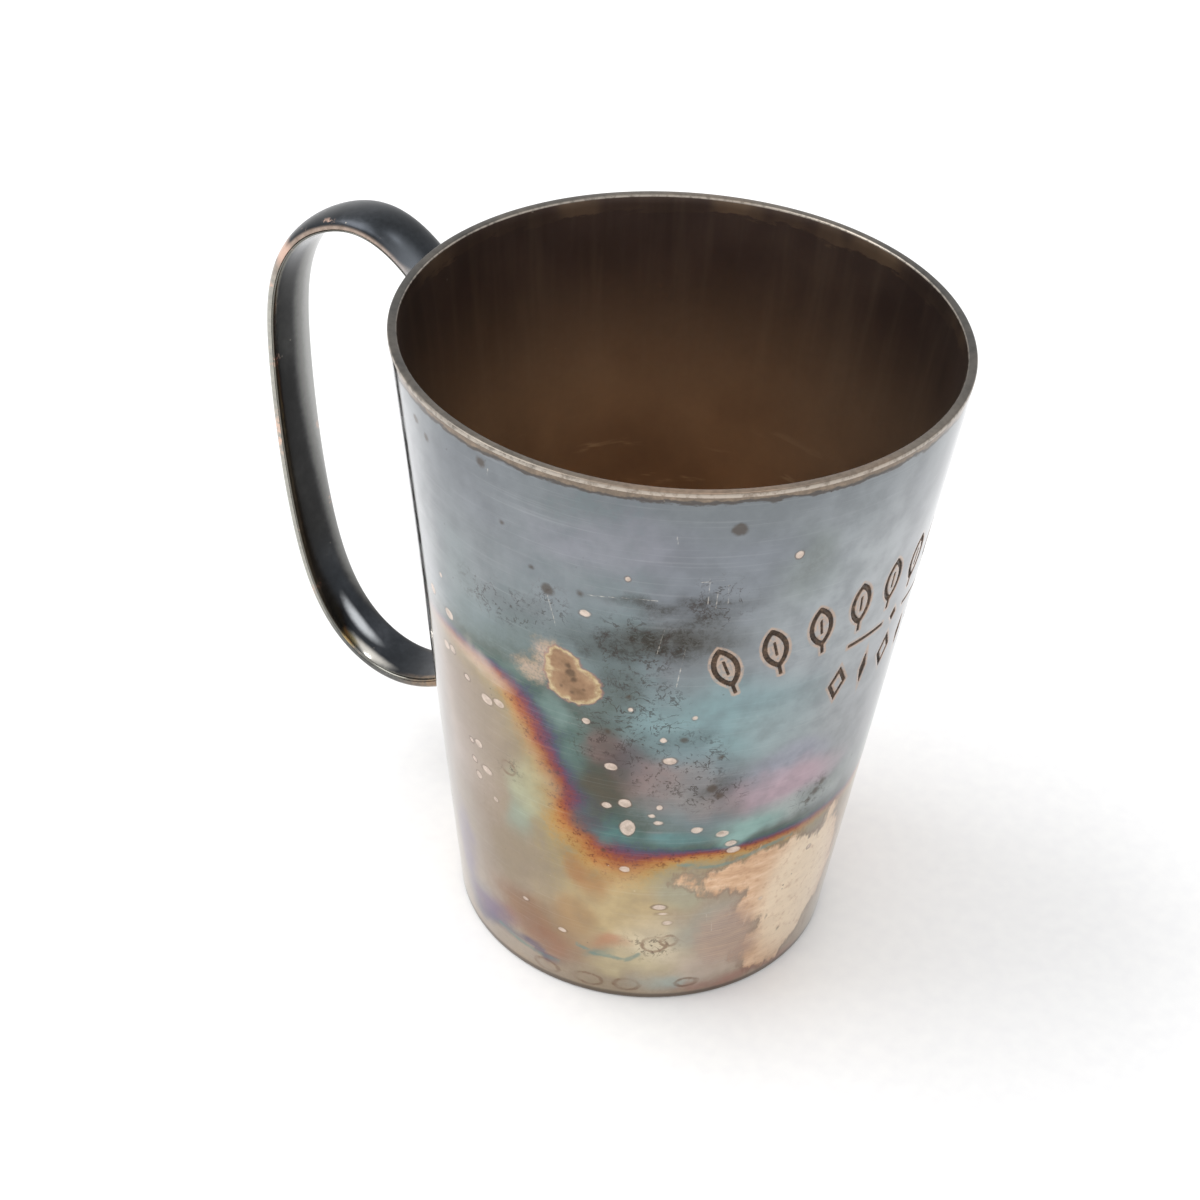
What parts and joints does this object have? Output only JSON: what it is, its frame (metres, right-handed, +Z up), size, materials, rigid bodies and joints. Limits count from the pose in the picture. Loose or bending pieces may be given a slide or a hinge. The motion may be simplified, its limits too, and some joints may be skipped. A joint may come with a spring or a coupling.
{
  "type": "one-handled prize cup",
  "caption": "Tapered one-handled metal prize cup with a plain lip, an inset base and an engraved leaf ornament opposite the handle.",
  "frame": {"origin": "centre of the foot's resting plane, on the cup's axis", "axes": "+Z up along the cup's axis, the handle along -X and the engraved front towards +X"},
  "size_m": [0.1321, 0.095, 0.1211],
  "materials": {
    "tarnished_plate": "silver plate dulled blue-grey, worn to straw and copper near the foot",
    "tarnished_plate_base": "browned plate, satin",
    "solder": "dull grey hard solder",
    "handle_plate": "blackened plate, polished by handling",
    "handle_strap_plate": "blackened plate with worn brassy edges",
    "handle_solder": "worn hard solder"
  },
  "bodies": {
    "root": {"body_wall": "tarnished_plate", "base_disc": "tarnished_plate_base", "base_solder_ring": "solder", "handle_outer_shell": "handle_plate", "handle_inner_strap": "handle_strap_plate", "handle_upper_solder": "handle_solder", "handle_lower_solder": "handle_solder"}
  },
  "joints": []
}
